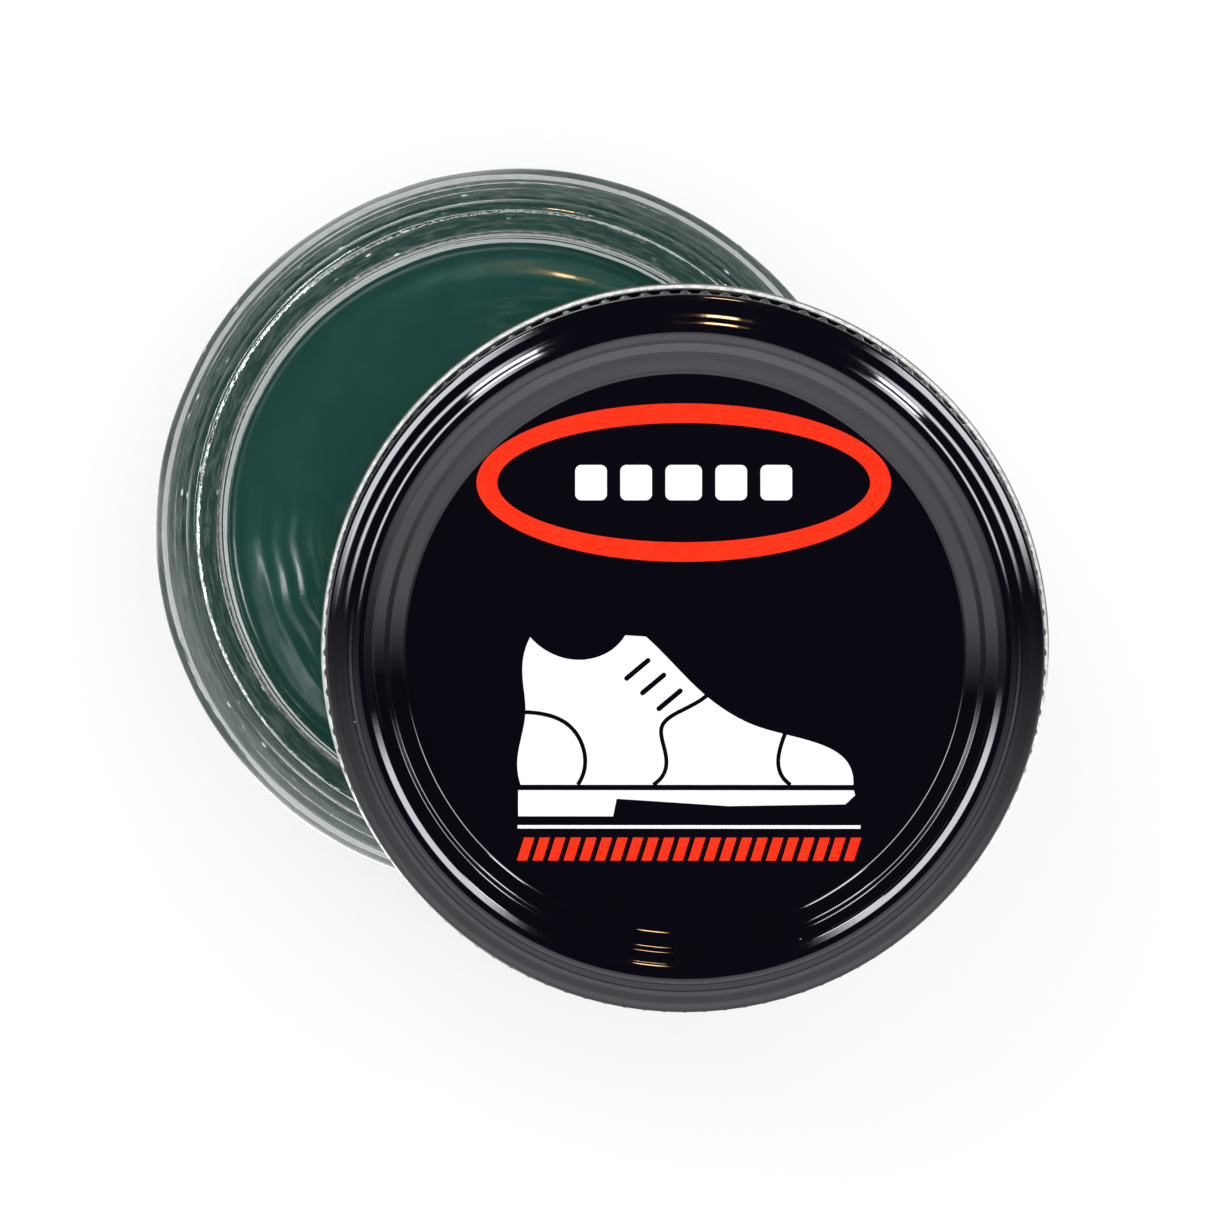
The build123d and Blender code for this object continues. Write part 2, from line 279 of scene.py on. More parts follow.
# ---------------------------------------------------------------------------------------------
# shader nodes
# ---------------------------------------------------------------------------------------------
class Net:
    """Short builders for a node tree. Any value may be a number or a socket."""

    def __init__(self, tree):
        self.tree = tree
        tree.nodes.clear()

    def node(self, kind, inputs=None, **props):
        node = self.tree.nodes.new("ShaderNode" + kind)
        for key, value in props.items():
            setattr(node, key, value)
        for key, value in (inputs or {}).items():
            socket = node.inputs[key]
            if isinstance(value, bpy.types.NodeSocket):
                self.tree.links.new(value, socket)
            elif socket.type == "RGBA":
                socket.default_value = (*value, 1)
            else:
                socket.default_value = value
        return node

    def first(self, kind, inputs=None, **props):
        """A new node's first output."""
        return self.node(kind, inputs, **props).outputs[0]

    def math(self, op, a, b=0.0, c=0.0):
        return self.first("Math", {0: a, 1: b, 2: c}, operation=op)

    def add(self, a, b):
        return self.math("ADD", a, b)

    def mul(self, a, b):
        return self.math("MULTIPLY", a, b)

    def stretch(self, vector, by):
        return self.first("VectorMath", {0: vector, 1: by}, operation="MULTIPLY")

    def scale(self, vector, by):
        return self.first("VectorMath", {0: vector, "Scale": by}, operation="SCALE")

    def mix(self, amount, a, b):
        return self.node("Mix", {0: amount, 6: a, 7: b}, data_type="RGBA").outputs[2]

    def mix_shader(self, amount, a, b):
        return self.first("MixShader", {0: amount, 1: a, 2: b})

    def ramp(self, value, span, to=(0.0, 1.0)):
        """Smoothly takes the span of value to the two levels."""
        inputs = dict(enumerate((value, *span, *to)))
        return self.first("MapRange", inputs, interpolation_type="SMOOTHSTEP")

    def noise(self, vector, scale, detail=2.0, rough=0.5, distort=0.0):
        return self.first("TexNoise", {"Vector": vector, "Scale": scale, "Detail": detail,
                                       "Roughness": rough, "Distortion": distort})

    def dots(self, vector, scale, above):
        """Distances from scattered points, and a mask of cells drawn above a level."""
        cells = self.node("TexVoronoi", {"Vector": vector, "Scale": scale})
        drawn = self.first("SeparateColor", {0: cells.outputs["Color"]})
        return cells.outputs["Distance"], self.math("GREATER_THAN", drawn, above)

    def xyz(self, vector):
        return self.node("SeparateXYZ", {0: vector}).outputs

    def radius(self, x, y):
        return self.math("SQRT", self.add(self.mul(x, x), self.mul(y, y)))

    def bump(self, height, strength, distance):
        return self.first("Bump", {"Strength": strength, "Distance": distance,
                                   "Height": height})

    def principled(self, base, rough, normal, more=None):
        return self.first("BsdfPrincipled", {"Base Color": base, "Roughness": rough,
                                             "Normal": normal, **(more or {})})

    def surface(self, shader):
        self.node("OutputMaterial", {"Surface": shader})


def material(name):
    """A new material, its net and its object coordinates, which are in metres."""
    mat = bpy.data.materials.new(name)
    mat.use_nodes = True
    net = Net(mat.node_tree)
    return mat, net, net.node("TexCoord").outputs["Object"]


# ---------------------------------------------------------------------------------------------
# materials
# ---------------------------------------------------------------------------------------------
def lacquer():
    """Glossy black with a slight orange peel and sparse dust."""
    mat, net, pos = material("black_lacquer_gloss")
    clouds = net.noise(pos, scale=45, detail=3)
    peel = net.noise(pos, scale=700, rough=0.55)
    grain = net.noise(pos, scale=4200, rough=0.6)
    base = net.mix(clouds, (0.0010, 0.0009, 0.0032), (0.0019, 0.0012, 0.0036))
    distance, chosen = net.dots(pos, scale=520, above=0.93)
    dust_size, dust_rough, grain_share = 0.035, 0.5, 0.12
    dust = net.mul(net.math("LESS_THAN", distance, dust_size), chosen)
    base = net.mix(dust, base, (0.28, 0.27, 0.27))
    rough = net.ramp(net.noise(pos, scale=240, detail=3), span=(0.3, 0.75), to=(0.03, 0.075))
    rough = net.add(rough, net.mul(dust, dust_rough))
    height = net.add(net.mul(peel, 1.0), net.mul(grain, grain_share))
    normal = net.bump(height, strength=0.10, distance=0.00003)
    net.surface(net.principled(base, rough, normal, {"IOR": 1.56}))
    return mat


def lining():
    """Pale gold lacquer on the inside of the lid."""
    mat, net, pos = material("gold_lining_lacquer")
    tone = net.noise(pos, scale=120, detail=4, rough=0.6)
    base = net.mix(net.ramp(tone, span=(0.3, 0.7)), (0.70, 0.66, 0.53), (0.80, 0.76, 0.64))
    rough = net.ramp(net.noise(pos, scale=900, detail=3), span=(0.3, 0.7), to=(0.16, 0.3))
    streak = net.noise(net.stretch(pos, by=(1.0, 1.0, 9.0)), scale=800, detail=3)
    normal = net.bump(streak, strength=0.15, distance=0.00003)
    net.surface(net.principled(base, rough, normal, {"Metallic": 1.0}))
    return mat


def rolled_edge():
    """Outside of the rolled edge: pale tin with drawing strokes, with painted shade as a dark
    greenish brown line at its widest on +Y and a darker underside.
    """
    mat, net, pos = material("rolled_tin_edge")
    x, y, z = net.xyz(pos)
    stroke = net.noise(pos, scale=1500, detail=3, rough=0.6)
    base = net.mix(net.ramp(stroke, span=(0.38, 0.62)), (0.62, 0.63, 0.64), (0.93, 0.93, 0.92))
    # painted shade: a dark greenish brown line along the outermost rim on the +Y side, standing
    # in for the shaded floor the edge mirrors
    painted_shade_rim = net.mul(net.ramp(net.radius(x, y), span=(0.03018, 0.03026)),
                    net.ramp(y, span=(-0.004, 0.002)))
    painted_shade_strength = 0.9
    base = net.mix(net.mul(painted_shade_rim, painted_shade_strength), base, (0.085, 0.075, 0.030))
    # painted shade: darker and duller where the roll is lowest, on its underside
    low = net.ramp(z, span=(0.0003, 0.0007), to=(1.0, 0.0))
    base = net.mix(low, base, (0.55, 0.52, 0.44))
    normal = net.bump(stroke, strength=0.2, distance=0.00004)
    net.surface(net.principled(base, 0.38, normal, {"Metallic": 0.2}))
    return mat


def glass():
    """Clear glass, rippled, with painted shade on the foot ring and marked from the shoulder up.
    """
    mat, net, pos = material("clear_flint_glass")
    ripple = net.noise(net.stretch(pos, by=(1.0, 1.0, 2.2)), scale=210, detail=3, distort=0.6)
    pits = net.noise(pos, scale=1900, rough=0.6)
    z = net.xyz(pos)[2]
    # pits are deeper on the neck than below it
    pit_share = net.ramp(z, span=(0.0195, 0.0215), to=(0.05, 0.24))
    height = net.add(ripple, net.mul(pits, pit_share))
    normal = net.bump(height, strength=0.32, distance=0.00012)
    tint = net.mix(net.noise(pos, scale=30), (0.86, 0.915, 0.89), (0.90, 0.94, 0.92))
    # painted shade: a dark brownish tint on the foot ring, mottled, for the contact shadow seen
    # through the glass
    foot_shade_mottle = net.noise(pos, scale=1400, detail=3, rough=0.6)
    foot_shade = net.mul(net.ramp(z, span=(0.0002, 0.0007), to=(1.0, 0.0)),
                    net.ramp(foot_shade_mottle, span=(0.3, 0.6), to=(0.75, 1.0)))
    tint = net.mix(foot_shade, tint, (0.20, 0.185, 0.15))
    rough = net.ramp(pits, span=(0.55, 0.8), to=(0.0, 0.05))
    clear = net.principled(tint, rough, normal, {"IOR": 1.52, "Transmission Weight": 1.0})

    # short bright scuffs and seeds in clumps, laid out around the jar
    x, y, _ = net.xyz(pos)
    metres_per_radian = 0.0085      # below the true radius, so the marks are drawn out
    around = net.mul(net.math("ARCTAN2", y, x), metres_per_radian)
    radius = net.radius(x, y)
    wrapped = net.first("CombineXYZ", {0: around, 1: radius, 2: z})
    distance, chosen = net.dots(wrapped, scale=1700, above=0.55)
    marks = net.mul(net.ramp(distance, span=(0.09, 0.22), to=(1.0, 0.0)), chosen)
    patches = net.noise(pos, scale=130, detail=3, rough=0.6)
    clumps = net.mul(net.ramp(patches, span=(0.50, 0.62)), net.ramp(z, span=(0.0165, 0.0185)))
    marks = net.mul(net.mul(marks, clumps),
                    net.ramp(radius, span=(0.0238, 0.0242), to=(0.0, 0.75)))
    # a thin bloom of fine rubbed rings over the same parts
    rubbed = net.noise(net.stretch(wrapped, by=(0.5, 1.0, 1.0)), scale=3600, detail=3,
                       rough=0.65)
    bloom = net.ramp(rubbed, span=(0.44, 0.68), to=(0.004, 0.060))
    bloom = net.mul(bloom, net.mul(net.ramp(z, span=(0.0160, 0.0180)),
                                   net.ramp(radius, span=(0.0238, 0.0243))))
    white = net.first("BsdfDiffuse", {"Color": (0.86, 0.93, 0.90)})
    marked = net.mix_shader(net.math("MAXIMUM", marks, bloom), clear, white)
    # shadow rays pass straight through, lightly tinted
    through = net.first("BsdfTransparent", {"Color": (0.86, 0.90, 0.88)})
    shadow = net.node("LightPath").outputs["Is Shadow Ray"]
    net.surface(net.mix_shader(shadow, marked, through))
    return mat


def cream():
    """Dark green wax cream, glossy only where it meets the air."""
    mat, net, pos = material("green_wax_cream")
    drift = net.noise(pos, scale=40, distort=0.6)
    grain = net.noise(pos, scale=2600, detail=3, rough=0.6)
    grain_share = 0.12              # of the colour and of the relief
    base = net.mix(drift, (0.0070, 0.053, 0.042), (0.0082, 0.058, 0.046))
    pale = net.mul(net.ramp(grain, span=(0.6, 0.8)), grain_share)
    base = net.mix(pale, base, (0.03, 0.10, 0.082))
    sweep = net.noise(pos, scale=260, detail=3, distort=1.5)
    height = net.add(net.mul(sweep, 1.0), net.mul(grain, grain_share))
    normal = net.bump(height, strength=0.30, distance=0.00012)
    rough = net.ramp(net.noise(pos, scale=420), span=(0.3, 0.7), to=(0.20, 0.27))
    # against the glass it is wetted and has no shine
    free = net.ramp(net.xyz(pos)[2], span=(0.0246, 0.0251))
    streaks = net.noise(net.stretch(pos, by=(1.0, 0.35, 1.0)), scale=900, detail=3, rough=0.6)
    streaks = net.ramp(streaks, span=(0.35, 0.65), to=(0.45, 1.0))
    net.surface(net.principled(base, rough, normal, {
        "IOR": 1.45,
        "Specular IOR Level": net.ramp(free, span=(0.0, 1.0), to=(0.16, 0.5)),
        "Coat Weight": net.mul(free, streaks),
        "Coat Roughness": 0.09,
    }))
    return mat


def ink(name, dark, light):
    """Printed ink, mottled between two colours."""
    mat, net, pos = material(name)
    mottle = net.noise(pos, scale=900, detail=4, rough=0.6)
    base = net.mix(net.ramp(mottle, span=(0.3, 0.72)), dark, light)
    grain = net.noise(pos, scale=2400, detail=3, rough=0.6)
    normal = net.bump(grain, strength=0.08, distance=0.00002)
    rough = net.ramp(mottle, span=(0.3, 0.7), to=(0.22, 0.32))
    net.surface(net.principled(base, rough, normal, {"IOR": 1.32}))
    return mat


def foam():
    """Off-white pressed foam with fine cells."""
    mat, net, pos = material("pressed_foam_wad")
    cells = net.node("TexVoronoi", {"Vector": pos, "Scale": 2600}).outputs["Distance"]
    soft = net.noise(pos, scale=300, detail=4, rough=0.6)
    soft_share = 0.8
    base = net.mix(soft, (0.80, 0.80, 0.76), (0.88, 0.88, 0.85))
    normal = net.bump(net.add(cells, net.mul(soft, soft_share)), strength=0.35,
                      distance=0.00006)
    net.surface(net.principled(base, 0.48, normal))
    return mat


# ---------------------------------------------------------------------------------------------
# the jar and its cream
# ---------------------------------------------------------------------------------------------
# corners (radius, height, rounding), from the underside up the outside, over the lip and down
JAR_CORNERS = [
    (0, 1.0, 0),
    (23.5, 0.45, 2.0),
    (27.5, 0.45, 0.3),
    (28.0, 0.0, 0.2),
    (29.9, 0.0, 0.6),
    (BODY_R, 2.2, 2.2),
    (BODY_R, BODY_TOP + 1.2, 2.0),
    (NECK_R + 0.9, NECK_BASE - 0.1, 0.7),
    (NECK_R, NECK_BASE + 0.6, 0.6),
    (NECK_R, JAR_H, 0.95),
    (BORE_TOP_R, JAR_H, 0.85),
    (BORE_R, JAR_H - 2.6, 1.5),
    (BORE_R, BORE_LOW, 1.6),
    (CAVITY_R, CAVITY_TOP, 2.0),
    (CAVITY_R, FLOOR, 2.6),
    (FLOOR_FLAT_R, FLOOR, 6.0),
    (0, FLOOR + FLOOR_RISE, 0),
]


def bore_ripple(angle):
    """The unevenness of the jar's inner wall, which the cream follows."""
    broad = waves(angle, [2, 3, 4, 6, 9, 13], seed=8)
    return broad * 0.035 + waves(angle, [19, 27, 41], seed=9) * 0.007


def jar_piece():
    def fine(middle):
        radius, z = middle
        if radius > 27.2 and 16.6 < z < 28.6:
            return 0.13             # shoulder and threaded neck
        if z < 0.1 and radius > 27.9:
            return 0.12             # foot ring
        return 0.6

    profile = sample(rounded(JAR_CORNERS), line=0.9, arc=0.2, fine=fine)
    lip = int(np.argmin(np.hypot(profile[:, 0] - LIP_MID_R, profile[:, 1] - JAR_H)))

    def relief(radius, z, angle, row):
        outside = row <= lip
        # thread: about one turn of a blunt ridge, run out at both ends
        ridge = helix(angle, z, THREAD_LOW, lambda dz: 1 - ease(np.abs(dz), 0.45, 1.35),
                      run=(-0.05, 0.22, TAU - 0.22, TAU + 0.05))
        edge = window(z, NECK_BASE + 0.6, NECK_BASE + 1.0, JAR_H - 1.1, JAR_H - 0.8)
        wall = (np.abs(radius - NECK_R) < 0.05) & (z > NECK_BASE + 0.7) & (z < JAR_H - 0.6)
        wide = (radius >= NECK_R - 0.02) & (z > NECK_BASE + 0.6) & (z < JAR_H - 0.9)
        radius += np.where(outside & (wall | wide), ridge * edge * (THREAD_R - NECK_R), 0)
        # short notches around the ring the jar stands on
        tick = ease(np.cos(RING_TICKS * angle), 0.0, 0.75)
        in_ring = window(radius, 28.3, 28.45, 29.4, 29.6)
        z += np.where(outside & (z < 0.3), tick * in_ring * 0.33, 0)
        # two mould seams up the outside, half a turn apart
        off_seam = np.abs((angle - 0.9 + math.pi / 2) % math.pi - math.pi / 2)
        upright = outside & (z > 2.0) & (z < JAR_H - 1.0) & (radius > 27.2)
        radius += np.where(upright, np.exp(-(off_seam / 0.0035) ** 2) * 0.09, 0)
        # the settled unevenness of pressed glass on the shoulder
        ripple = waves(angle, [2, 3, 5, 7, 11], seed=3) * 0.028
        ripple = ripple + waves(angle + z * 0.05, [17, 23, 31], seed=4) * 0.006
        shoulder = outside & (z > 15.5) & (z < NECK_BASE + 0.8)
        radius += np.where(shoulder, ripple * 1.3, 0)
        # fine rings left on the shoulder by the mould's lathe marks
        rings = (np.sin(radius * 10.5 + 0.6 * np.sin(angle * 2 + 1)) * 0.6
                 + np.sin(radius * 17.3 + 0.8 * np.sin(angle * 3)) * 0.4)
        rings = rings * 0.016 * window(z, 16.9, 17.6, 19.7, 20.1)
        z += np.where(outside & (radius > 28.1), rings, 0)
        # bore and cavity wall
        radius += np.where(~outside & (radius > 20), bore_ripple(angle), 0)
        # the lip sits a little low and waves
        top = (z > JAR_H - 1.0) & (radius > 24.2) & (radius < 27.6)
        sag = waves(angle, [2, 3, 5, 8], seed=12) * 0.022 - 0.05
        z += np.where(top, sag * ease(z, JAR_H - 1.0, JAR_H), 0)
        return radius, z

    return lathe("jar_glass", profile, 1100, relief, [glass()])


def cream_piece():
    edge_r = BORE_R + OVERLAP
    side = sample(rounded([
        (0, FLOOR + FLOOR_RISE - OVERLAP, 0),
        (FLOOR_FLAT_R, FLOOR - OVERLAP, 6.0),
        (CAVITY_R + OVERLAP, FLOOR - OVERLAP, 2.6),
        (CAVITY_R + OVERLAP, CAVITY_TOP + OVERLAP, 2.0),
        (edge_r, BORE_LOW + OVERLAP, 1.6),
        (edge_r, CREAM_LEVEL + CREAM_CLIMB, 0),
    ]), line=1.2, arc=0.35)
    # the surface: a thin climbing edge at the glass, then even steps to the axis
    insets = np.array([0.10, 0.2, 0.32, 0.45, 0.6, 0.8, 1.0, 1.25, 1.5])
    radii = np.concatenate([edge_r - insets, np.arange(22.3, 0.2, -0.19)])
    heights = CREAM_LEVEL + CREAM_CLIMB * np.exp(-(edge_r - radii) / 0.42)
    profile = np.vstack([side, np.stack([radii, heights], -1), [[0, CREAM_LEVEL]]])
    first = len(side)

    def relief(radius, z, angle, row):
        on_top = (row >= first).astype(float)
        follow = np.where(row < first, (radius > 20).astype(float), ease(radius, 21.5, 23.6))
        radius += bore_ripple(angle) * follow
        x, y = radius * np.cos(angle), radius * np.sin(angle)
        # a broad dish, a little off centre
        rise = 0.020 * ((x + 2) ** 2 + (y - 1) ** 2) / 24 - 0.30
        # slow folds left as the cream set
        folds = np.sin(0.23 * x + 0.31 * y + 0.8 * np.sin(0.17 * y + 1.0))
        rise += 0.10 * folds * np.exp(-((radius - 14) / 9.0) ** 2)
        rise += 0.05 * np.sin(0.62 * (radius + 0.9 * np.sin(2 * angle + 0.6)) + 1.4 * angle)
        # a raised bank beside the -X wall, with fine combed ripples on it
        near = np.exp(-(np.hypot(x + 16.8, (y + 7.0) * 0.62) / 4.6) ** 2)
        bank = np.hypot(x - 3.0, y - 1.5)
        comb = np.sin(bank * 4.2 + 0.9 * np.sin(angle * 5) + 0.5 * np.sin(angle * 23))
        rise += near * (0.95 * ease(bank, 12.8, 21.3) + 0.050 * comb)
        # the same rise again, fainter, along the +Y wall
        near = np.exp(-(np.hypot((x - 3.0) * 0.45, y - 19.5) / 4.6) ** 2)
        comb = np.sin(radius * 4.4 + 2 * np.sin(angle * 3))
        rise += near * (0.72 * ease(radius, 15.5, 22.5) + 0.016 * comb)
        # all this fades towards the glass, where the edge only wavers
        open_part = 1 - ease(radius, 21.0, 23.4)
        waver = ease(radius, 21.0, 24.2) * waves(angle, [2, 3, 5, 7, 12], seed=21) * 0.03
        z += on_top * (open_part * rise + (1 - open_part) * waver)
        return radius, z

    return lathe("cream_fill", profile, 560, relief, [cream()])


# ---------------------------------------------------------------------------------------------
# the lid and its liner, in the lid's own frame
# ---------------------------------------------------------------------------------------------
turn_joint = next(j for j in frame["joints"] if j["name"] == "lid_turn")
LID = frame_along(Vector(turn_joint["axis"]).normalized(), turn_joint["pos_m"])

# corners (radius, height, rounding) of the outer face, from the panel's centre to the curl
CROWN = [
    (0, PANEL_Z, 0),
    (PANEL_R - 0.2, PANEL_Z, 0.8),
    (24.2, PANEL_Z + 0.96, 0.5),
    (24.7, PANEL_Z + 1.095, 0.4),
    (25.6, LID_H - 0.276, 0.6),
    (26.45, LID_H, 1.2),
    (27.05, LID_H - 0.11, 2.5),
    (27.85, LID_H - 0.466, 3.6),
    (28.8, LID_H - 0.644, 3.1),
    (WALL_R, LID_H - 0.85, 0.4),
    (WALL_R, 2.35, 0.5),
    (CURL_WALL_R, 1.75, 0.5),
    (CURL_WALL_R, CURL_R, 0),
]


def lid_piece():
    def fine(middle):
        radius, z = middle
        if radius > 28.5 and z < 9.8:
            return 0.17             # skirt
        if radius < 23.5:
            return 0.9              # panel
        return 0.25

    centre = point(CURL_AT, CURL_R)

    def on_curl(radius, angle):
        return centre + radius * point(math.cos(angle), math.sin(angle))

    def curl_arc(radius, start, end, step):
        ends = on_curl(radius, start), on_curl(radius, end)
        return sample([("arc", ends[0], centre, ends[1], end - start)], arc=step)

    # the sheet's outer face turns inside the roll, its inner face becomes the roll's outside
    inner_r = CURL_R - SHEET
    face = sample(rounded(CROWN), line=0.9, arc=0.10, fine=fine)
    roll_in = curl_arc(inner_r, math.pi, TAU + CURL_STOP, step=0.1)
    roll_end = sample([("line", on_curl(inner_r, CURL_STOP), on_curl(CURL_R, CURL_STOP))],
                      line=0.06)
    roll_out = curl_arc(CURL_R, CURL_STOP, -math.pi, step=0.08)
    back = sample(rounded(inner_face(CROWN, SHEET)), line=0.9, arc=0.16, fine=fine)[::-1]
    profile = np.vstack([face, roll_in[1:], roll_end[1:], roll_out[1:], back[1:]])
    face_end = len(face) + len(roll_in) - 1
    roll_stop = face_end + len(roll_end) + len(roll_out) - 2
    zones = [0 if i < face_end else 2 if i < roll_stop else 1 for i in range(len(profile) - 1)]

    def relief(radius, z, angle, row):
        skirt = (radius > 28.6) & (z > 1.9)
        # grip flutes; the inner face follows them more softly
        wave = 0.5 + 0.5 * np.cos(KNURLS * angle)
        wave = ease(wave, 0.0, 1.0) * 0.55 + wave * 0.45
        band = window(z, KNURL_LOW - 0.15, KNURL_LOW + 0.5, KNURL_HIGH - 0.2, KNURL_HIGH + 0.25)
        lift = (wave * (KNURL_R - WALL_R + KNURL_CUT) - KNURL_CUT) * band
        outer = row < face_end
        radius += np.where(skirt, np.where(outer, lift, lift * 0.6 - 0.02 * band), 0)
        # rolled thread: a groove outside, a bead inside, run out at both ends
        full = BEAD_RISE / PITCH * TAU
        groove = helix(angle, z, BEAD_LOW,
                       lambda dz: np.cos(np.clip(dz / 1.05, -1, 1) * math.pi / 2) ** 2,
                       run=(-0.18, 0.16, full - 0.16, full + 0.18))
        radius -= np.where(skirt & (z < 6.4) & (radius > 28.8), groove * BEAD_DEPTH, 0)
        # the shallow unevenness of pressed tinplate
        radius += np.where(skirt, waves(angle, [2, 3, 4], seed=31) * 0.012, 0)
        z += np.where(radius > 25.5, waves(angle, [2, 3, 5], seed=33) * 0.010, 0)
        return radius, z

    coats = [lacquer(), lining(), rolled_edge()]
    piece = lathe("lid_pressing", profile, KNURLS * 10, relief, coats, zones)
    piece.matrix_world = LID
    return piece


def liner_piece():
    # corners (radius, height, rounding), a shallow channel pressed in the underside
    profile = sample(rounded([
        (0, LINER_LOW, 0),
        (24.9, LINER_LOW, 0.4),
        (25.2, LINER_LOW + 0.06, 0.4),
        (27.2, LINER_LOW + 0.06, 0.4),
        (27.5, LINER_LOW, 0.4),
        (LINER_R, LINER_LOW, 0.35),
        (LINER_R, LID_H - 2.3, 0.5),
        (27.1, LID_H - 0.65, 0.5),
        (26.6, LID_H - 0.65, 0.4),
        (24.9, LINER_TOP, 0.4),
        (0, LINER_TOP, 0),
    ]), line=0.9, arc=0.1)

    def relief(radius, z, angle, row):
        underside = (z < LINER_LOW + 0.3) & (radius > 4)
        uneven = waves(angle + radius * 0.08, [2, 3, 5, 9], seed=41) * 0.010 + 0.010
        z += np.where(underside, uneven, 0)
        return radius, z

    piece = lathe("liner_wad", profile, 360, relief, [foam()])
    piece.matrix_world = LID
    return piece


# piece, the part it rides on, the CAD node it replaces, its material slot
pieces = [
    (jar_piece(), "jar", "glass_jar", "clear_glass"),
    (cream_piece(), "jar", "shoe_cream", "green_cream"),
    (lid_piece(), "lid", "lid_shell", "black_lacquer"),
    (liner_piece(), "liner", "lid_liner", "white_liner"),
]
for piece, part, cad_node, slot_name in pieces:
    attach(piece, part)
    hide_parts(cad_node)


def paint(cad_node, mat):
    """Puts one material on every slot of a CAD piece that is kept."""
    piece = frame["nodes"][cad_node]
    if not piece.material_slots:
        piece.data.materials.append(mat)
    for slot in piece.material_slots:
        slot.material = mat


paint("orange_print", ink("orange_ink_gloss", dark=(0.97, 0.0215, 0.0004),
                          light=(0.99, 0.0245, 0.0006)))
paint("white_print", ink("white_ink_gloss", dark=(0.84, 0.84, 0.88), light=(0.90, 0.90, 0.94)))

# ---------------------------------------------------------------------------------------------
# floor
# ---------------------------------------------------------------------------------------------
FLOOR_Z = -0.00004                  # just under the jar, in metres
FLOOR_RINGS = [0.15, 0.4, 1.0, 2.5, 6.0]
FLOOR_SIDES = 96
# stretches of table seen in mirrors: azimuth, half width, softness in degrees, added light
FLOOR_STRETCHES = [
    (-38, 15, 7, 2.6), (28, 5, 4, 1.1), (112, 20, 9, 1.9), (178, 6, 4, 1.2), (236, 15, 8, 2.7),
]


def angle_from(net, azimuth, degrees):
    """Absolute difference of an azimuth socket from a direction, in radians."""
    off = net.math("SUBTRACT", azimuth, math.radians(degrees))
    return net.math("ABSOLUTE", net.math("WRAP", off, math.pi, -math.pi))


def soft_edge(net, value, at, soft, to=(0.0, 1.0)):
    """A smooth step about an angle, both in degrees."""
    return net.ramp(value, span=(math.radians(at - soft), math.radians(at + soft)), to=to)


def pale_floor():
    """Matt and softly glowing, so shadows stay faint."""
    mat, net, pos = material("pale_floor")
    tone = net.mix(net.noise(pos, scale=9, detail=3), (0.90, 0.90, 0.90), (0.93, 0.93, 0.93))
    matt = net.first("BsdfDiffuse", {"Color": net.scale(tone, by=0.42)})
    glow = net.first("Emission", {"Color": (1, 1, 1), "Strength": 0.60})
    both = net.first("AddShader", {0: matt, 1: glow})
    path = net.node("LightPath").outputs
    in_glass = net.math("GREATER_THAN", path["Transmission Depth"], 0.5)
    # mirrors see bright and dull stretches of table, so upright walls read as curved
    x, y, _ = net.xyz(pos)
    around = net.math("ARCTAN2", y, x)
    level = 0.62                    # between the stretches
    for azimuth, half, soft, gain in FLOOR_STRETCHES:
        off = angle_from(net, around, azimuth)
        level = net.add(level, soft_edge(net, off, half, soft, to=(gain, 0.0)))
    level = net.mix(in_glass, level, (0.70, 0.70, 0.70))
    mirrored = net.first("Emission", {"Color": (1, 1, 1), "Strength": level})
    net.surface(net.mix_shader(path["Is Glossy Ray"], both, mirrored))
    return mat


def floor_piece():
    sides = FLOOR_SIDES
    verts = [(0, 0, FLOOR_Z)]
    for radius in FLOOR_RINGS:
        verts += [(radius * math.cos(TAU * i / sides), radius * math.sin(TAU * i / sides),
                   FLOOR_Z) for i in range(sides)]
    faces = [(0, 1 + i, 1 + (i + 1) % sides) for i in range(sides)]
    for ring in range(len(FLOOR_RINGS) - 1):
        a, b = 1 + ring * sides, 1 + (ring + 1) * sides
        faces += [(a + i, b + i, b + (i + 1) % sides, a + (i + 1) % sides)
                  for i in range(sides)]
    mesh = bpy.data.meshes.new("floor")
    mesh.from_pydata(verts, [], faces)
    piece = bpy.data.objects.new("floor", mesh)
    bpy.context.scene.collection.objects.link(piece)
    mesh.materials.append(pale_floor())


floor_piece()

# ---------------------------------------------------------------------------------------------
# world: soft-edged rectangles of light, seen only in mirrors and through glass
# ---------------------------------------------------------------------------------------------
# azimuth, half width, its softness, low and high elevation, their softness (degrees), level
WORLD_PATCHES = [
    (268, 84, 10, -30, 40.6, 1, 1.35),      # broad grey card on the near side, with a thin
    (268, 64, 30, 43.4, 56, 2.5, 1.9),      # dark seam above its lowest part
    (268, 64, 30, 56, 69, 2.5, 1.25),
    (28, 21, 7, 54.8, 62.8, 2.0, 13.0),     # long softbox, right
    (151, 25, 8, 54.8, 62.8, 2.0, 13.0),    # long softbox, left
    (46, 5, 1, 45, 53, 1.2, 26.0),          # window, right
    (127, 7.5, 1, 45, 53, 1.2, 24.0),       # window, left
]
HORIZON = (90, 181, 0.5, -90, 3, 3, 1.0)        # bright table and horizon all round
GLASS_LEFT = (184, 56, 16, -50, 20, 4, 3.4)     # what the glass gathers from the left
WARM_LAMP = (83, 3, 1, 51, 57, 1.5, 55.0)       # small, on the far side
WORLD_BASE = 0.035


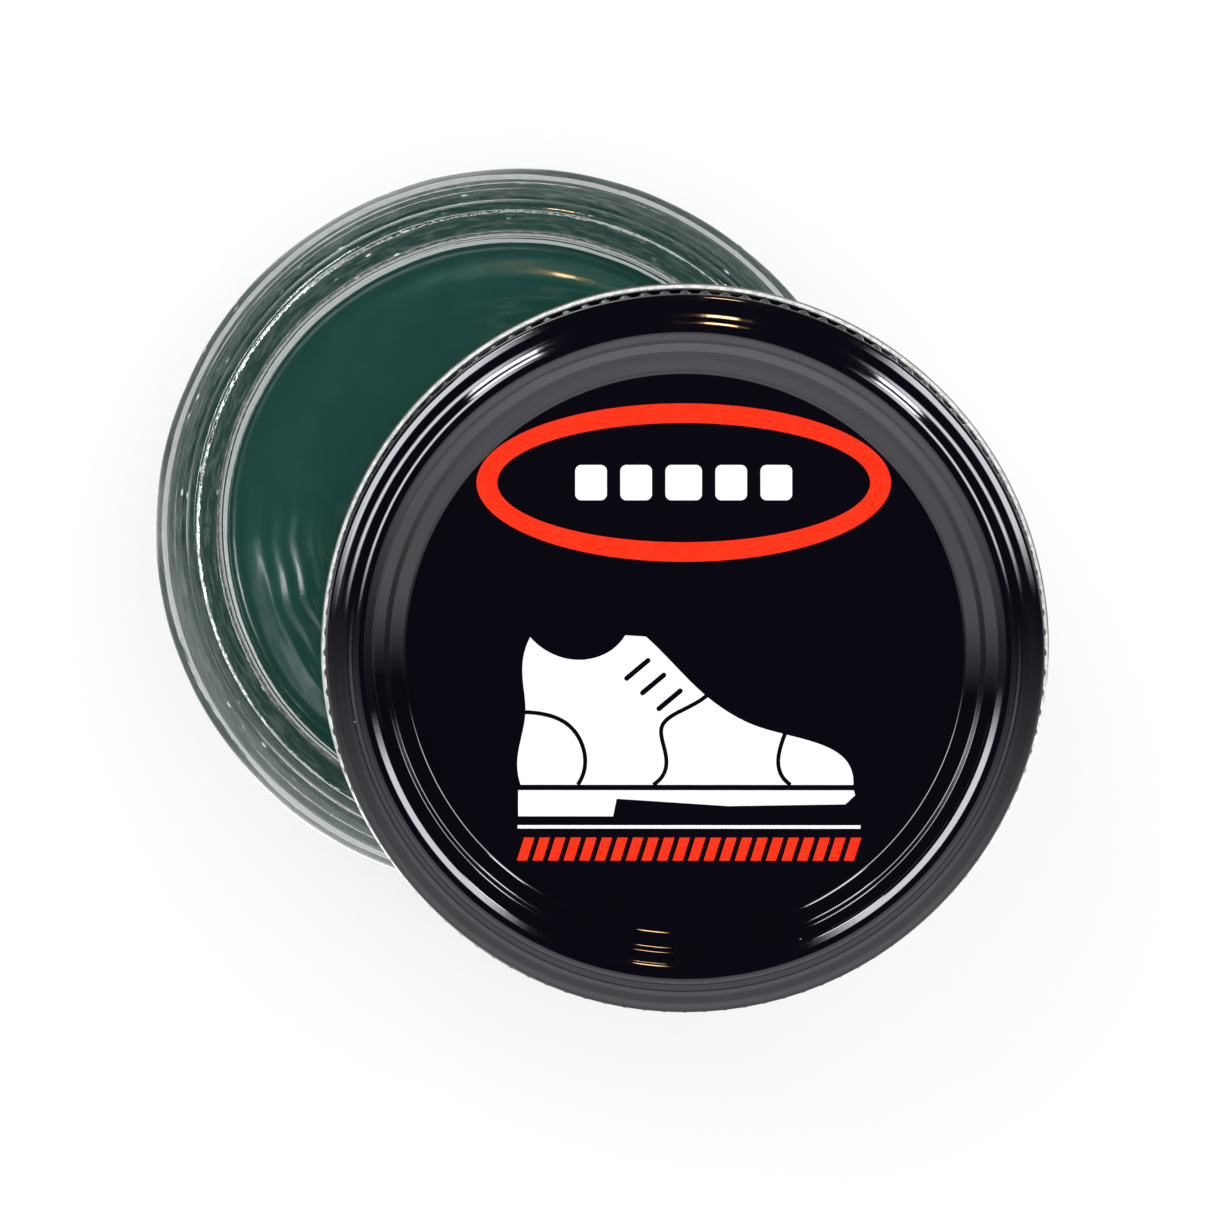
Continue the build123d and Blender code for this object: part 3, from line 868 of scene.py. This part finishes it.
def studio_world():
    world = bpy.data.worlds.new("studio")
    bpy.context.scene.world = world
    world.use_nodes = True
    net = Net(world.node_tree)
    x, y, z = net.xyz(net.node("TexCoord").outputs["Generated"])
    elevation = net.math("ARCSINE", z)
    azimuth = net.math("ARCTAN2", y, x)

    def patch(at, half, soft_side, low, high, soft_end, level):
        across = soft_edge(net, angle_from(net, azimuth, at), half, soft_side, to=(1.0, 0.0))
        above = soft_edge(net, elevation, low, soft_end)
        below = soft_edge(net, elevation, high, soft_end, to=(1.0, 0.0))
        return net.mul(net.mul(across, above), net.mul(below, level))

    path = net.node("LightPath").outputs
    in_glass = net.math("GREATER_THAN", path["Transmission Depth"], 0.5)
    parts = [net.add(WORLD_BASE, 0.0)]
    parts += [patch(*row) for row in WORLD_PATCHES]
    dimmed = net.ramp(in_glass, span=(0.0, 1.0), to=(1.0, 0.55))
    parts.append(net.mul(patch(*HORIZON), dimmed))
    parts.append(net.mul(patch(*GLASS_LEFT), in_glass))
    cool = net.scale((0.97, 0.98, 1.04), by=functools.reduce(net.add, parts))
    warm = net.scale((1.0, 0.62, 0.30), by=patch(*WARM_LAMP))
    seen = net.first("VectorMath", {0: cool, 1: warm}, operation="ADD")

    # diffuse light is even; the camera sees a plain pale backdrop
    even = net.first("CombineXYZ", {0: 1.0, 1: 1.0, 2: 1.0})
    mirrored = net.math("MAXIMUM", path["Is Glossy Ray"], path["Is Transmission Ray"])
    mirrored = net.mul(mirrored, net.math("LESS_THAN", path["Diffuse Depth"], 0.5))
    light = net.mix(mirrored, even, seen)
    light = net.mix(path["Is Camera Ray"], light, (0.97, 0.97, 0.97))
    backdrop = net.first("Background", {"Color": light, "Strength": 1.0})
    net.node("OutputWorld", {"Surface": backdrop})


studio_world()

# ---------------------------------------------------------------------------------------------
# lights, metres and watts
# ---------------------------------------------------------------------------------------------
LIGHT_SIDE = 0.5
LIGHT_AIM = Vector((0, 0, 0.02))


def area(name, at, power):
    """A square lamp aimed at the jar, which no ray sees directly or mirrored."""
    light = bpy.data.lights.new(name, "AREA")
    light.shape = "RECTANGLE"
    light.size = light.size_y = LIGHT_SIDE
    light.energy = power
    lamp = bpy.data.objects.new(name, light)
    bpy.context.scene.collection.objects.link(lamp)
    lamp.location = at
    lamp.rotation_mode = "QUATERNION"
    lamp.rotation_quaternion = (LIGHT_AIM - Vector(at)).to_track_quat("-Z", "Y")
    lamp.visible_camera = False
    lamp.visible_glossy = False
    lamp.visible_transmission = False


area("key", at=(-0.35, 0.45, 0.75), power=2.2)
area("fill", at=(0.5, 0.3, 0.7), power=1.2)

# ---------------------------------------------------------------------------------------------
# camera: almost straight down, long lens
# ---------------------------------------------------------------------------------------------
LENS, SENSOR = 200.0, 36.0
VIEW_WIDTH = 101.50502              # width in view at the lip's height, in millimetres
TARGET = Vector((7.76, -6.66, JAR_H)) * MM
LEAN = math.radians(0.2)            # towards +X

scene = bpy.context.scene
cam = bpy.data.cameras.new("camera")
cam.lens, cam.sensor_width = LENS, SENSOR
cam.clip_start, cam.clip_end = 0.05, 20
camera = bpy.data.objects.new("camera", cam)
scene.collection.objects.link(camera)
sight = Vector((math.sin(LEAN), 0, math.cos(LEAN)))
reach = VIEW_WIDTH * LENS / SENSOR * MM
camera.matrix_world = frame_along(sight, TARGET + sight * reach)
scene.camera = camera

scene.view_settings.view_transform = "Standard"
scene.view_settings.look = "None"
scene.view_settings.exposure = 0.0
if hasattr(scene, "cycles"):        # missing where the Cycles add-on is off
    scene.cycles.max_bounces = 16
    scene.cycles.transmission_bounces = 16
    scene.cycles.transparent_max_bounces = 16
    scene.cycles.glossy_bounces = 6
    scene.cycles.diffuse_bounces = 4
    scene.cycles.sample_clamp_indirect = 8.0
